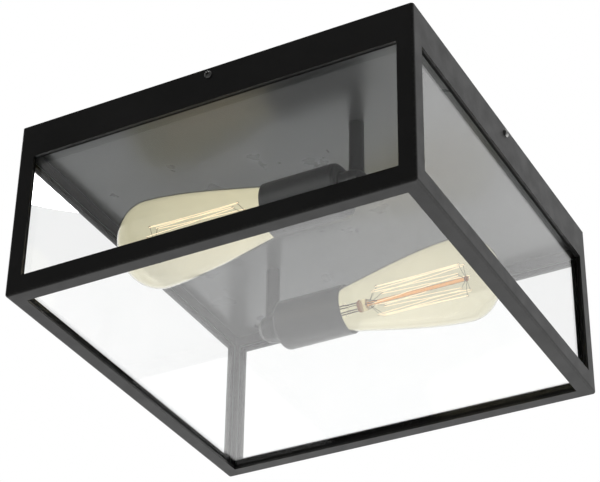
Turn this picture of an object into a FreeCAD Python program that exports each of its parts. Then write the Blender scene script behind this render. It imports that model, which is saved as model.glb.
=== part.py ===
import FreeCAD, Part
import math
import os

from FreeCAD import Vector

# A square porch ceiling lantern with two lamps.
# Origin: centre of the lantern on the ceiling. The lantern hangs down from there, so z is negative.
# +X is right, +Y is back, -Y is the front. All sizes are in millimetres.

# ---- steel frame of the cage ----
body_width = 360.0            # square, over the flats of the frame
body_height = 165.0           # from the ceiling to the underside of the frame
ceiling_gap = 0.5             # the cage stops this far under the ceiling
frame_wall = 2.0              # thickness of the folded steel
frame_bend_radius = 2.5       # outer radius of every folded edge
band_height = 32.5            # tall band round the top
post_leg = 14.5               # width of each leg of a corner post
rail_height = 16.3            # upright leg of a bottom rail
rail_flange = 13.0            # flat leg of a bottom rail, which carries the bottom glass

# ---- glass and its seals ----
glass_thickness = 3.0
glass_edge_chamfer = 0.4
seal_thickness = 2.5
seal_setback = 0.3            # the seal stops this far short of the edge of the opening
side_bearing = 5.0            # glass behind the frame at the posts
top_bearing = 4.5             # glass behind the frame at the band
bottom_glass_clearance = 1.5  # between the bottom glass and the upright leg of the rail
bottom_seal_clearance = 0.5

# ---- tray on the ceiling ----
tray_depth = 20.0
tray_wall = 1.2
tray_gap = 3.5                # between the tray and the inside of the band
tray_corner_radius = 6.0
tray_edge_radius = 6.0

slot_spacing = 120.0          # ceiling fixing slots, centre to centre
slot_radius = 2.75
slot_length = 16.0

# ---- screws ----
m4_radius = 2.0
m4_clearance = 0.05
m4_head_radius = 3.5
m4_head_height = 2.2
m4_head_top_radius = 2.9
m4_nut_flats = 7.0
side_screw_drop = 6.75        # below the top edge of the band
side_nut_height = 3.0

# ---- terminal block and earth stud, on top of the tray plate ----
block_offset = 104.0          # from the centre, along X
block_length = 31.0
block_width = 17.0
block_height = 13.0
block_shoulder = 3.5          # the block narrows above this much from its top
block_top_width = 11.0
block_ways = 3
block_pitch = 10.0
clamp_width = 6.0
clamp_height = 5.0
clamp_length = 13.0
clamp_wall = 0.8
clamp_lift = 3.0              # underside of the clamps above the tray plate
clamp_screw_radius = 1.5
clamp_screw_cover = 2.0       # screw heads below the top of the block
driver_hole_radius = 2.0
slack = 0.1                   # between pieces that are simply pushed into each other
earth_offset = -104.0
earth_stud_height = 9.8       # above the tray plate
earth_nut_height = 3.2

# ---- stems ----
stem_inset = 96.5             # stem axis from the outer face of the cage, along X
lamp_inset = 98.0             # lamp axis from the outer face of the cage, along Y
lamp_drop = 80.5              # lamp axis below the ceiling
stem_radius = 6.25
stem_bore = 3.6
spigot_radius = 5.0
spigot_height = 8.5           # thread above the underside of the tray
stem_nut_flats = 14.0
stem_nut_height = 3.0

# ---- elbow behind each cup; lengths along the lamp axis are counted from the stem axis ----
elbow_radius = 13.2
elbow_front = 10.5            # face that the cup sits against
elbow_straight = 9.0          # straight part behind that face
elbow_dome = 13.5
elbow_dome_facets = 3
stem_seat = 5.0               # lower end of the stem above the lamp axis
nipple_radius = 5.0           # threaded end of the elbow, which holds the cup and the lampholder
nipple_length = 9.0
wire_way_radius = 3.2

# ---- cup and lampholder ----
cup_radius = 22.2
cup_length = 66.9
cup_wall = 1.0
cup_edge_radius = 5.0
cup_edge_facets = 3
holder_radius = 19.3
holder_length = 52.0
holder_edge_chamfer = 3.5
holder_socket_depth = 30.0
cap_fit = 0.05                # between the lamp's cap and the screw shell
shell_thickness = 0.5
shell_length = 22.0
shell_setback = 2.0
contact_width = 5.0
contact_thickness = 0.6
contact_height = 9.0
contact_foot = 4.0

# ---- lamp; lengths along the lamp axis are counted from its end contact ----
lamp_length = 178.0
lamp_radius = 37.0
lamp_nose = 32.0              # from the widest point to the tip
lamp_glass = 0.9
lamp_insertion = 23.5         # cap inside the lampholder
rim_radius = 20.3             # glass where it leaves the cup
taper_shape = ((0.3, 0.21), (1.0, 1.0))  # share of the way to the rim, share of the drop
nose_facets = 5
inner_nose_facets = 3
neck_radius = 14.6
neck_end = 28.5
cap_radius = 13.1
cap_length = 27.0
cap_rim = 0.4
cap_start = 5.5
cap_chamfer = 1.6
insulator_radius = 10.6
tip_contact_radius = 4.8
tip_contact_top = 3.6
tip_contact_height = 1.5

# ---- inside the lamp ----
flare_length = 8.0
flare_end_radius = 6.0
stalk_radius = 1.6
bead_start = 46.5
bead_length = 9.0
bead_radius = 5.8
rod_radius = 1.5
rod_end = 151.0
hub_radius = 2.4
hub_length = 4.0
lead_radius = 0.45
lead_inner = 2.6              # from the lamp axis to the inner pair of lead wires
lead_outer = 4.4
filament_radius = 0.35
filament_legs = 14
filament_back = 66.0
filament_front = 147.0
filament_back_circle = 13.5
filament_front_circle = 14.5
hook_gap = 0.07               # angle between a leg's end and the middle of its hook, in radians
support_radius = 0.3
spoke_rise = 1.5

# ---- worked out from the sizes above ----
half_width = body_width / 2
wall_face = half_width - frame_wall
cage_top = -ceiling_gap
cage_bottom = -body_height
window_half = half_width - post_leg
window_top = cage_top - band_height
window_bottom = cage_bottom + rail_height
floor_opening_half = half_width - rail_flange
floor_seal_bottom = cage_bottom + frame_wall
floor_glass_bottom = floor_seal_bottom + seal_thickness
floor_glass_top = floor_glass_bottom + glass_thickness
pane_half = window_half + side_bearing
pane_top = window_top + top_bearing
pane_face = wall_face - seal_thickness
tray_half = wall_face - tray_gap
plate_bottom = -tray_depth
plate_top = plate_bottom + tray_wall
side_screw_height = cage_top - side_screw_drop
stem_x = half_width - stem_inset
lamp_y = half_width - lamp_inset
lamp_start = elbow_front + cup_wall + holder_length - lamp_insertion
shell_inner = cap_radius + cap_fit
socket_radius = shell_inner + shell_thickness

# Each side of the cage, and how far round from the front it is
sides = {"front": 0, "right": 90, "back": 180, "left": 270}

# Each corner of the cage, and how far round from the front right it is
corners = {"front_right": 0, "back_right": 90, "back_left": 180, "front_left": 270}

nodes = {}


# ---------------------------------------------------------------- general shapes

def block(half_x, half_y, z_low, z_high):
    """A block centred on the lantern's axis."""
    corner = Vector(-half_x, -half_y, z_low)
    return Part.makeBox(2 * half_x, 2 * half_y, z_high - z_low, corner)


def prism(points, direction):
    """A solid made by moving a closed outline along a direction."""
    outline = Part.makePolygon(points + [points[0]])
    return Part.Face(outline).extrude(direction)


def hexagon(flats, height, base):
    """An upright hexagonal prism that stands on the point base."""
    reach = flats / math.sqrt(3)
    points = []
    for step in range(6):
        angle = math.radians(60 * step)
        points.append(base + Vector(reach * math.cos(angle), reach * math.sin(angle), 0))
    return prism(points, Vector(0, 0, height))


def upright_rod(radius, x, y, z_low, z_high):
    return Part.makeCylinder(radius, z_high - z_low, Vector(x, y, z_low))


def turned(profile):
    """A solid turned about the X axis from (length, radius) points."""
    points = [Vector(length, radius, 0) for length, radius in profile]
    outline = Part.makePolygon(points + [points[0]])
    return Part.Face(outline).revolve(Vector(0, 0, 0), Vector(1, 0, 0), 360)


def ring(length_low, length_high, inner, outer):
    """A tube about the X axis."""
    return turned([(length_low, inner), (length_high, inner), (length_high, outer), (length_low, outer)])


def plug(length_low, length_high, radius):
    """A round bar about the X axis."""
    return ring(length_low, length_high, 0, radius)


def turn_about_z(shape, degrees):
    moved = shape.copy()
    moved.rotate(Vector(0, 0, 0), Vector(0, 0, 1), degrees)
    return moved


def rounding(length, radius, depth, reach, facets):
    """Points that round off the end of a turned profile.

    They follow a quarter of an ellipse, which starts at (length, radius + reach)
    and ends at (length + depth, radius). A negative depth rounds a rear end.
    """
    points = []
    for step in range(facets + 1):
        angle = math.radians(90 * step / facets)
        points.append((length + depth * math.sin(angle), radius + reach * math.cos(angle)))
    return points


def pan(half, z_low, corner_radius, edge_radius):
    """A square block up to the ceiling with rounded uprights and a rounded lower edge."""
    shape = block(half, half, z_low, 0)
    uprights = [edge for edge in shape.Edges if abs(edge.tangentAt(0).z) > 0.99]
    shape = shape.makeFillet(corner_radius, uprights)
    lower = [edge for edge in shape.Edges if abs(edge.BoundBox.ZMax - z_low) < 0.01]
    return shape.makeFillet(edge_radius, lower)


def add(name, shape):
    nodes[name] = shape


def add_pair(name, shape):
    """The same piece for both lamps, in one node: the second is half a turn round."""
    add(name, Part.makeCompound([shape, turn_about_z(shape, 180)]))


def add_each(name, shape):
    """The same piece for both lamps, in a node each."""
    add(name + "_1", shape)
    add(name + "_2", turn_about_z(shape, 180))


# ---------------------------------------------------------------- cage

def side_wedge():
    """The quarter of the lantern in front, between the two mitres."""
    reach = body_width
    points = [Vector(0, 0, cage_bottom), Vector(-reach, -reach, cage_bottom),
              Vector(reach, -reach, cage_bottom)]
    return prism(points, Vector(0, 0, cage_top - cage_bottom))


def cage_shell():
    """The folded steel of the whole cage, with its five openings."""
    shell = block(half_width, half_width, cage_bottom, cage_top)
    folded = []
    for edge in shell.Edges:
        upright = abs(edge.tangentAt(0).z) > 0.99
        if upright or abs(edge.BoundBox.ZMax - cage_bottom) < 0.01:
            folded.append(edge)
    shell = shell.makeFillet(frame_bend_radius, folded)
    shell = shell.cut(block(wall_face, wall_face, cage_bottom + frame_wall, cage_top))
    shell = shell.cut(block(window_half, body_width, window_bottom, window_top))
    shell = shell.cut(block(body_width, window_half, window_bottom, window_top))
    return shell.cut(block(floor_opening_half, floor_opening_half, cage_bottom, window_bottom))


def add_frame():
    shell = cage_shell()
    band = shell.common(block(half_width, half_width, window_top, cage_top)).common(side_wedge())
    hole = Part.makeCylinder(m4_radius + m4_clearance, body_width,
                             Vector(0, 0, side_screw_height), Vector(0, -1, 0))
    band = band.cut(hole)
    rail = shell.common(block(half_width, half_width, cage_bottom, window_bottom)).common(side_wedge())
    uprights = shell.common(block(half_width, half_width, window_bottom, window_top))
    quarter = Part.makeBox(half_width, half_width, body_height, Vector(0, -half_width, cage_bottom))
    post = uprights.common(quarter)
    for side, angle in sides.items():
        add("band_" + side, turn_about_z(band, angle))
        add("rail_" + side, turn_about_z(rail, angle))
    for corner, angle in corners.items():
        add("post_" + corner, turn_about_z(post, angle))


def glass_sheet(half_x, y_outer, y_inner, z_low, z_high):
    sheet = Part.makeBox(2 * half_x, y_outer - y_inner, z_high - z_low, Vector(-half_x, -y_outer, z_low))
    return sheet.makeChamfer(glass_edge_chamfer, sheet.Edges)


def add_side_glass():
    pane = glass_sheet(pane_half, pane_face, pane_face - glass_thickness, floor_glass_top, pane_top)
    height = pane_top - floor_glass_top
    seal = Part.makeBox(2 * pane_half, seal_thickness, height,
                        Vector(-pane_half, -wall_face, floor_glass_top))
    hole_half = window_half + seal_setback
    hole_low = window_bottom - seal_setback
    hole_high = window_top + seal_setback
    seal = seal.cut(Part.makeBox(2 * hole_half, body_width, hole_high - hole_low,
                                 Vector(-hole_half, -body_width, hole_low)))
    for side, angle in sides.items():
        add("pane_" + side, turn_about_z(pane, angle))
        add("seal_" + side, turn_about_z(seal, angle))


def add_bottom_glass():
    half = wall_face - bottom_glass_clearance
    pane = block(half, half, floor_glass_bottom, floor_glass_top)
    add("pane_bottom", pane.makeChamfer(glass_edge_chamfer, pane.Edges))
    seal_half = wall_face - bottom_seal_clearance
    hole_half = floor_opening_half + seal_setback
    seal = block(seal_half, seal_half, floor_seal_bottom, floor_glass_bottom)
    add("seal_bottom", seal.cut(block(hole_half, hole_half, cage_bottom, floor_glass_top)))


def pan_head_screw(shank_length):
    """A screw along X: its head's seat is at 0 and its shank runs to +X."""
    return turned([(-m4_head_height, 0), (-m4_head_height, m4_head_top_radius), (0, m4_head_radius),
                   (0, m4_radius), (shank_length, m4_radius), (shank_length, 0)])


def add_side_screws():
    screw = pan_head_screw(frame_wall + tray_gap)
    screw.rotate(Vector(0, 0, 0), Vector(0, 0, 1), 90)
    screw.translate(Vector(0, -half_width, side_screw_height))
    nut = hexagon(m4_nut_flats, side_nut_height, Vector(0, 0, 0))
    nut = nut.cut(upright_rod(m4_radius + m4_clearance, 0, 0, 0, side_nut_height))
    nut.rotate(Vector(0, 0, 0), Vector(1, 0, 0), -90)
    nut.translate(Vector(0, -wall_face, side_screw_height))
    nuts = []
    for side, angle in sides.items():
        add("side_screw_" + side, turn_about_z(screw, angle))
        nuts.append(turn_about_z(nut, angle))
    add("side_screw_nuts", Part.makeCompound(nuts))


# ---------------------------------------------------------------- tray and what it carries

def fixing_slot(centre):
    """A round-ended slot along X through the tray's plate."""
    straight = slot_length / 2 - slot_radius
    slot = Part.makeBox(2 * straight, 2 * slot_radius, tray_wall,
                        Vector(centre - straight, -slot_radius, plate_bottom))
    for end in (centre - straight, centre + straight):
        slot = slot.fuse(upright_rod(slot_radius, end, 0, plate_bottom, plate_top))
    return slot


def add_tray():
    tray = pan(tray_half, plate_bottom, tray_corner_radius, tray_edge_radius)
    tray = tray.cut(pan(tray_half - tray_wall, plate_top, tray_corner_radius - tray_wall,
                        tray_edge_radius - tray_wall))
    for x, y in ((stem_x, -lamp_y), (-stem_x, lamp_y)):
        tray = tray.cut(upright_rod(spigot_radius + slack, x, y, plate_bottom, plate_top))
    for centre in (-slot_spacing / 2, slot_spacing / 2):
        tray = tray.cut(fixing_slot(centre))
    stud = upright_rod(m4_radius, earth_offset, 0, plate_top, plate_top + earth_stud_height)
    add("ceiling_tray", tray.fuse(stud))
    nut = hexagon(m4_nut_flats, earth_nut_height, Vector(earth_offset, 0, plate_top))
    add("earth_nut", nut.cut(upright_rod(m4_radius + m4_clearance, earth_offset, 0, plate_top, 0)))


def block_section():
    """Outline of the terminal block across its length: wide below, narrow on top."""
    wide = block_width / 2
    narrow = block_top_width / 2
    shoulder = block_height - block_shoulder
    return [(-wide, 0), (wide, 0), (wide, shoulder), (narrow, block_height),
            (-narrow, block_height), (-wide, shoulder)]


def add_terminal_block():
    start = block_offset - block_length / 2
    body = prism([Vector(start, y, plate_top + z) for y, z in block_section()], Vector(block_length, 0, 0))
    block_top = plate_top + block_height
    clamp_bottom = plate_top + clamp_lift
    clamp_top = clamp_bottom + clamp_height
    clamps = []
    screws = []
    first = block_offset - block_pitch * (block_ways - 1) / 2
    for way in range(block_ways):
        x = first + block_pitch * way
        passage = Part.makeBox(clamp_width + 2 * slack, block_width, clamp_height + 2 * slack,
                               Vector(x - clamp_width / 2 - slack, -block_width / 2, clamp_bottom - slack))
        body = body.cut(passage).cut(upright_rod(driver_hole_radius, x, 0, clamp_top, block_top))
        clamp = Part.makeBox(clamp_width, clamp_length, clamp_height,
                             Vector(x - clamp_width / 2, -clamp_length / 2, clamp_bottom))
        wire_way = Part.makeBox(clamp_width - 2 * clamp_wall, clamp_length, clamp_height - 2 * clamp_wall,
                                Vector(x - clamp_width / 2 + clamp_wall, -clamp_length / 2,
                                       clamp_bottom + clamp_wall))
        thread = upright_rod(clamp_screw_radius + m4_clearance, x, 0, clamp_top - clamp_wall, clamp_top)
        clamps.append(clamp.cut(wire_way).cut(thread))
        screws.append(upright_rod(clamp_screw_radius, x, 0, clamp_top - clamp_wall,
                                  block_top - clamp_screw_cover))
    add("terminal_block", body)
    add("terminal_clamps", Part.makeCompound(clamps))
    add("terminal_screws", Part.makeCompound(screws))


# ---------------------------------------------------------------- stems, elbows and cups

def along_lamp(shape):
    """Places a shape that was turned about X, counted forward from the stem axis of lamp 1."""
    moved = turn_about_z(shape, 180)
    moved.translate(Vector(stem_x, -lamp_y, -lamp_drop))
    return moved


def add_stems():
    seat = stem_seat - lamp_drop
    stem = upright_rod(stem_radius, stem_x, -lamp_y, seat, plate_bottom)
    spigot_top = plate_bottom + spigot_height
    stem = stem.fuse(upright_rod(spigot_radius, stem_x, -lamp_y, plate_bottom, spigot_top)).removeSplitter()
    stem = stem.cut(upright_rod(stem_bore, stem_x, -lamp_y, seat, spigot_top))
    add_each("stem", stem)
    hole = upright_rod(spigot_radius + m4_clearance, stem_x, -lamp_y, plate_top, spigot_top)
    nut = hexagon(stem_nut_flats, stem_nut_height, Vector(stem_x, -lamp_y, plate_top))
    add_pair("stem_nuts", nut.cut(hole))


def add_elbows():
    """The domed castings that join the stems to the backs of the cups."""
    dome_start = elbow_front - elbow_straight
    tip = elbow_front + nipple_length
    dome = rounding(dome_start, 0, -elbow_dome, elbow_radius, elbow_dome_facets)
    front = [(tip, 0), (tip, nipple_radius), (elbow_front, nipple_radius), (elbow_front, elbow_radius)]
    body = turned(front + dome)
    body = body.cut(upright_rod(stem_radius + m4_clearance, 0, 0, stem_seat, elbow_radius))
    body = body.cut(upright_rod(wire_way_radius, 0, 0, 0, stem_seat)).cut(plug(0, tip, wire_way_radius))
    add_each("elbow", along_lamp(body))


def add_cups():
    front = elbow_front + cup_length
    floor = elbow_front + cup_wall
    inner = cup_radius - cup_wall
    edge = rounding(elbow_front + cup_edge_radius, cup_radius - cup_edge_radius, -cup_edge_radius,
                    cup_edge_radius, cup_edge_facets)
    hole = nipple_radius + slack
    rear = [(elbow_front, hole), (floor, hole)]
    inside = [(floor, cup_radius - cup_edge_radius), (elbow_front + cup_edge_radius, inner), (front, inner)]
    add_each("cup", along_lamp(turned([(front, cup_radius)] + edge + rear + inside)))


def add_lampholders():
    back = elbow_front + cup_wall
    front = back + holder_length
    floor = front - holder_socket_depth
    nipple_end = elbow_front + nipple_length + slack
    hole = nipple_radius + m4_clearance
    body = turned([(nipple_end, 0), (nipple_end, hole), (back, hole),
                   (back, holder_radius - holder_edge_chamfer), (back + holder_edge_chamfer, holder_radius),
                   (front, holder_radius), (front, socket_radius), (floor, socket_radius), (floor, 0)])
    add_each("lampholder", along_lamp(body))
    shell_start = front - shell_setback - shell_length
    shell = ring(shell_start, front - shell_setback, shell_inner, socket_radius)
    add_pair("holder_shells", along_lamp(shell))
    add_pair("holder_contacts", along_lamp(contact_leaf(floor)))


def contact_leaf(floor):
    """A bent brass leaf: its foot lies on the floor of the socket and its top meets the lamp."""
    low = -contact_height / 2
    high = contact_height / 2
    thick = contact_thickness
    outline = [(floor, low), (floor, low + contact_foot), (floor + thick, low + contact_foot),
               (floor + thick, low + thick), (lamp_start - thick, high - contact_foot),
               (lamp_start - thick, high), (lamp_start, high), (lamp_start, high - contact_foot - thick),
               (floor + 2 * thick, low)]
    points = [Vector(length, -contact_width / 2, height) for length, height in outline]
    return prism(points, Vector(0, contact_width, 0))


# ---------------------------------------------------------------- lamps

def in_holder(shape):
    """Places a lamp piece, counted from the lamp's end contact, in the lampholder of lamp 1."""
    moved = shape.copy()
    moved.translate(Vector(lamp_start, 0, 0))
    return along_lamp(moved)


def glass_outline(inset, facets):
    """Half outline of the lamp's glass from the cap to the tip, drawn in by an even inset."""
    widest = lamp_length - lamp_nose
    taper = widest - (elbow_front + cup_length - lamp_start)
    narrowing = lamp_radius - rim_radius
    points = [(cap_length, cap_radius - cap_rim - inset), (neck_end, neck_radius - inset)]
    for share, drop in reversed(taper_shape):
        points.append((widest - taper * share, lamp_radius - narrowing * drop - inset))
    return points + rounding(widest, 0, lamp_nose - inset, lamp_radius - inset, facets)


def lamp_envelope():
    outside = glass_outline(0, nose_facets)
    inside = glass_outline(lamp_glass, inner_nose_facets)
    return turned(outside + inside[::-1])


def lamp_cap():
    return turned([(cap_start, 0), (cap_start, insulator_radius), (cap_start + cap_chamfer, cap_radius),
                   (cap_length, cap_radius), (cap_length, 0)])


def lamp_base():
    """Black glass insulator and the soldered end contact, as two solids."""
    insulator = turned([(tip_contact_height, 0), (tip_contact_height, tip_contact_radius),
                        (cap_start, insulator_radius), (cap_start, 0)])
    contact = turned([(0, 0), (0, tip_contact_top), (tip_contact_height, tip_contact_radius),
                      (tip_contact_height, 0)])
    return Part.makeCompound([insulator, contact])


def lamp_mount():
    """Glass flare, stalk, bead, rod and hub that carry the filament."""
    flare_radius = cap_radius - cap_rim - lamp_glass - slack
    flare_end = cap_length + flare_length
    bead_end = bead_start + bead_length
    return turned([(cap_length, 0), (cap_length, flare_radius), (flare_end, flare_end_radius),
                   (flare_end, stalk_radius), (bead_start, stalk_radius), (bead_start, bead_radius),
                   (bead_end, bead_radius), (bead_end, rod_radius), (rod_end - hub_length, rod_radius),
                   (rod_end - hub_length, hub_radius), (rod_end, hub_radius), (rod_end, 0)])


def on_circle(length, circle, angle):
    return Vector(length, circle * math.cos(angle), circle * math.sin(angle))


def fine_wire(start, end, radius):
    """A wire so thin that six sides are enough."""
    along = (end - start).normalize()
    across = along.cross(Vector(0, 0, 1))
    if across.Length < 0.1:
        across = along.cross(Vector(0, 1, 0))
    across.normalize()
    other = along.cross(across)
    points = []
    for side in range(6):
        angle = math.radians(60 * side)
        points.append(start + across * (radius * math.cos(angle)) + other * (radius * math.sin(angle)))
    return prism(points, end - start)


def lamp_filament():
    """Legs that zigzag between the back and the front hooks, all round the rod."""
    half_step = math.pi / filament_legs
    legs = []
    for leg in range(filament_legs):
        angle = 2 * math.pi * leg / filament_legs
        lean = half_step - hook_gap
        if leg % 2:
            lean = -lean
        back = on_circle(filament_back, filament_back_circle, angle + lean)
        front = on_circle(filament_front, filament_front_circle, angle - lean)
        legs.append(fine_wire(back, front, filament_radius))
    return Part.makeCompound(legs)


def lamp_supports():
    """Four lead wires in a row, and the spokes that hold the filament at both ends."""
    wires = []
    flare_end = cap_length + flare_length
    for across in (-lead_outer, -lead_inner, lead_inner, lead_outer):
        wires.append(fine_wire(Vector(flare_end, across, 0), Vector(bead_start, across, 0), lead_radius))
    half_step = math.pi / filament_legs
    foot = support_radius + slack
    back_root = bead_start + bead_length + spoke_rise
    front_root = rod_end - hub_length / 2
    ends = ((back_root, rod_radius + foot, filament_back, filament_back_circle, 1),
            (front_root, hub_radius + foot, filament_front, filament_front_circle, -1))
    for root, core, length, circle, side in ends:
        for spoke in range(filament_legs // 2):
            angle = half_step * (4 * spoke + side)
            inner = on_circle(root, core, angle)
            wires.append(fine_wire(inner, on_circle(length, circle, angle), support_radius))
    return Part.makeCompound(wires)


def add_lamps():
    add_each("lamp_glass", in_holder(lamp_envelope()))
    add_each("lamp_cap", in_holder(lamp_cap()))
    add_each("lamp_base", in_holder(lamp_base()))
    add_each("lamp_mount", in_holder(lamp_mount()))
    add_each("lamp_filament", in_holder(lamp_filament()))
    add_each("lamp_supports", in_holder(lamp_supports()))


# ---------------------------------------------------------------- build and save

def main():
    add_frame()
    add_side_glass()
    add_bottom_glass()
    add_side_screws()
    add_tray()
    add_terminal_block()
    add_stems()
    add_elbows()
    add_cups()
    add_lampholders()
    add_lamps()
    os.makedirs("parts", exist_ok=True)
    for name, shape in nodes.items():
        shape.exportStep("parts/" + name + ".step")
        print(name, len(shape.Solids), "solids,", round(shape.Volume, 1), "mm3")


main()
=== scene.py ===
import math

import bmesh
import bpy
from mathutils import Matrix, Vector
from mathutils.geometry import interpolate_bezier


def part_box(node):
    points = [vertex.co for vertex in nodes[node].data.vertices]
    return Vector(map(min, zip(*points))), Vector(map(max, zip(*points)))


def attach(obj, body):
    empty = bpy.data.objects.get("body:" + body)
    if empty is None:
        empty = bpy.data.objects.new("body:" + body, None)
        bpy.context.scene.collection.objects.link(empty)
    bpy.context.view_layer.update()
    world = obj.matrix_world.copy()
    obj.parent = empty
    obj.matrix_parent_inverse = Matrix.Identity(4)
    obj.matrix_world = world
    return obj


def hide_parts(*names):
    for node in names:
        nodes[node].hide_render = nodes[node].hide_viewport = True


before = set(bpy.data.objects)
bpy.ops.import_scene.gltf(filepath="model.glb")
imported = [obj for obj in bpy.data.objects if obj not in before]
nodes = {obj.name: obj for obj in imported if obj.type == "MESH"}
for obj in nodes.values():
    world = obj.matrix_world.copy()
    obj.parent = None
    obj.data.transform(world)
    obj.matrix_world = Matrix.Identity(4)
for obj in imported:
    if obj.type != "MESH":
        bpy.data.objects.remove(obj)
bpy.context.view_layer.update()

MM = 0.001
SIDES = ("front", "right", "back", "left")

# Sizes of the lantern that the finer pieces follow, in millimetres.
HALF_WIDTH = 180.0
CAGE_BOTTOM = -165.0
LAMP_Y, LAMP_Z = 82.0, -80.5

# A lamp, along its own axis from its end contact.
LAMP_START = 43.5             # x of lamp 1's end contact
LAMP_LENGTH, LAMP_RADIUS, LAMP_NOSE, LAMP_WALL = 178.0, 37.0, 32.0, 0.9
WIDEST = LAMP_LENGTH - LAMP_NOSE
RIM_AT, RIM_RADIUS = 37.4, 20.3
LAMP_SIDES = 96               # facets round the glass
COAT_GAP = 0.12               # between the glass and the lit coat
COAT_BASE, COAT_BASE_RADIUS = 27.35, 11.55

CAP_LENGTH, CAP_START, CAP_RADIUS = 27.0, 5.5, 13.1
CAP_THREAD_DEPTH, CAP_THREAD_PITCH = 0.95, 3.62
FLARE_END, FLARE_RADIUS, STALK_RADIUS = 35.0, 5.6, 1.6
BEAD_START, BEAD_END, BEAD_RADIUS = 46.5, 55.5, 5.8
COLLAR_HALF, COLLAR_CORE = 1.6, 4.4
ROD_RADIUS, ROD_CORE, ROD_END = 1.9, 1.25, 151.0
HUB_RADIUS, HUB_LENGTH = 2.4, 4.0
LEAD_RADIUS, LEAD_PLACES = 0.55, (-4.4, -2.1, 2.1, 4.4)
TIE_RADIUS, TIE_LENGTH = 0.42, 10.1
LEGS, FILAMENT_RADIUS = 14, 0.2625
FILAMENT_BACK, BACK_CIRCLE = 66.0, 13.5
FILAMENT_FRONT, FRONT_CIRCLE = 147.0, 14.5
HOOK_RADIUS, HOOK_LOOP = 0.20, 0.9
BEND_ANGLE = 0.07             # half the angle that a bend of the filament takes up

# Screws.
SCREW_Z = -7.25
SHANK_RADIUS, SHANK_LENGTH = 2.0, 5.3
SCREW_THREAD_DEPTH, SCREW_THREAD_PITCH = 0.33, 0.7
RECESS_SIZE = 4.0, 1.05       # length and width of each arm of the cross recess
TERMINAL_PITCH = 10.0

# Surroundings, in metres, and how bright they are.
FLOOR_HALF, FLOOR_Z = 40.0, -2.4
FRONT_LEVEL, BACK_LEVEL, RIGHT_SHARE = 0.10, 1.0, 0.62
FLOOR_BACK_LEVEL = 1.15


# ---------------------------------------------------------------- material nodes

class Graph:
    """Small helper that builds a tree of shader nodes."""

    def __init__(self, tree):
        self.tree = tree
        self.tree.nodes.clear()

    def node(self, kind, **settings):
        """A new node with its settings."""
        new = self.tree.nodes.new(kind)
        for key, value in settings.items():
            setattr(new, key, value)
        return new

    def join(self, source, target):
        """Links an output to an input."""
        self.tree.links.new(source, target)

    def feed(self, socket, value):
        """Gives a socket a link or a plain value."""
        if isinstance(value, bpy.types.NodeSocket):
            self.join(value, socket)
        else:
            socket.default_value = value

    def ranged(self, value, low, high, to_low, to_high, smooth=False):
        """Moves a value from one range to another and holds it there."""
        new = self.node("ShaderNodeMapRange")
        if smooth:
            new.interpolation_type = "SMOOTHSTEP"
        self.feed(new.inputs["Value"], value)
        new.inputs["From Min"].default_value = low
        new.inputs["From Max"].default_value = high
        new.inputs["To Min"].default_value = to_low
        new.inputs["To Max"].default_value = to_high
        return new.outputs["Result"]

    def calc(self, operation, first, second=0.0):
        """One calculation on one or two values."""
        new = self.node("ShaderNodeMath", operation=operation)
        self.feed(new.inputs[0], first)
        self.feed(new.inputs[1], second)
        return new.outputs[0]

    def mixed(self, share, first, second):
        """The second shader over the first, by a share."""
        new = self.node("ShaderNodeMixShader")
        for socket, source in zip(new.inputs, (share, first, second)):
            self.join(source, socket)
        return new.outputs[0]

    def looked_at(self):
        """1 for what is seen directly or through glass, else 0."""
        path = self.node("ShaderNodeLightPath").outputs
        not_dull = self.calc("LESS_THAN", path["Diffuse Depth"], 0.5)
        through = self.calc("MULTIPLY", path["Is Transmission Ray"], not_dull)
        return self.calc("MAXIMUM", path["Is Camera Ray"], through)


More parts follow.
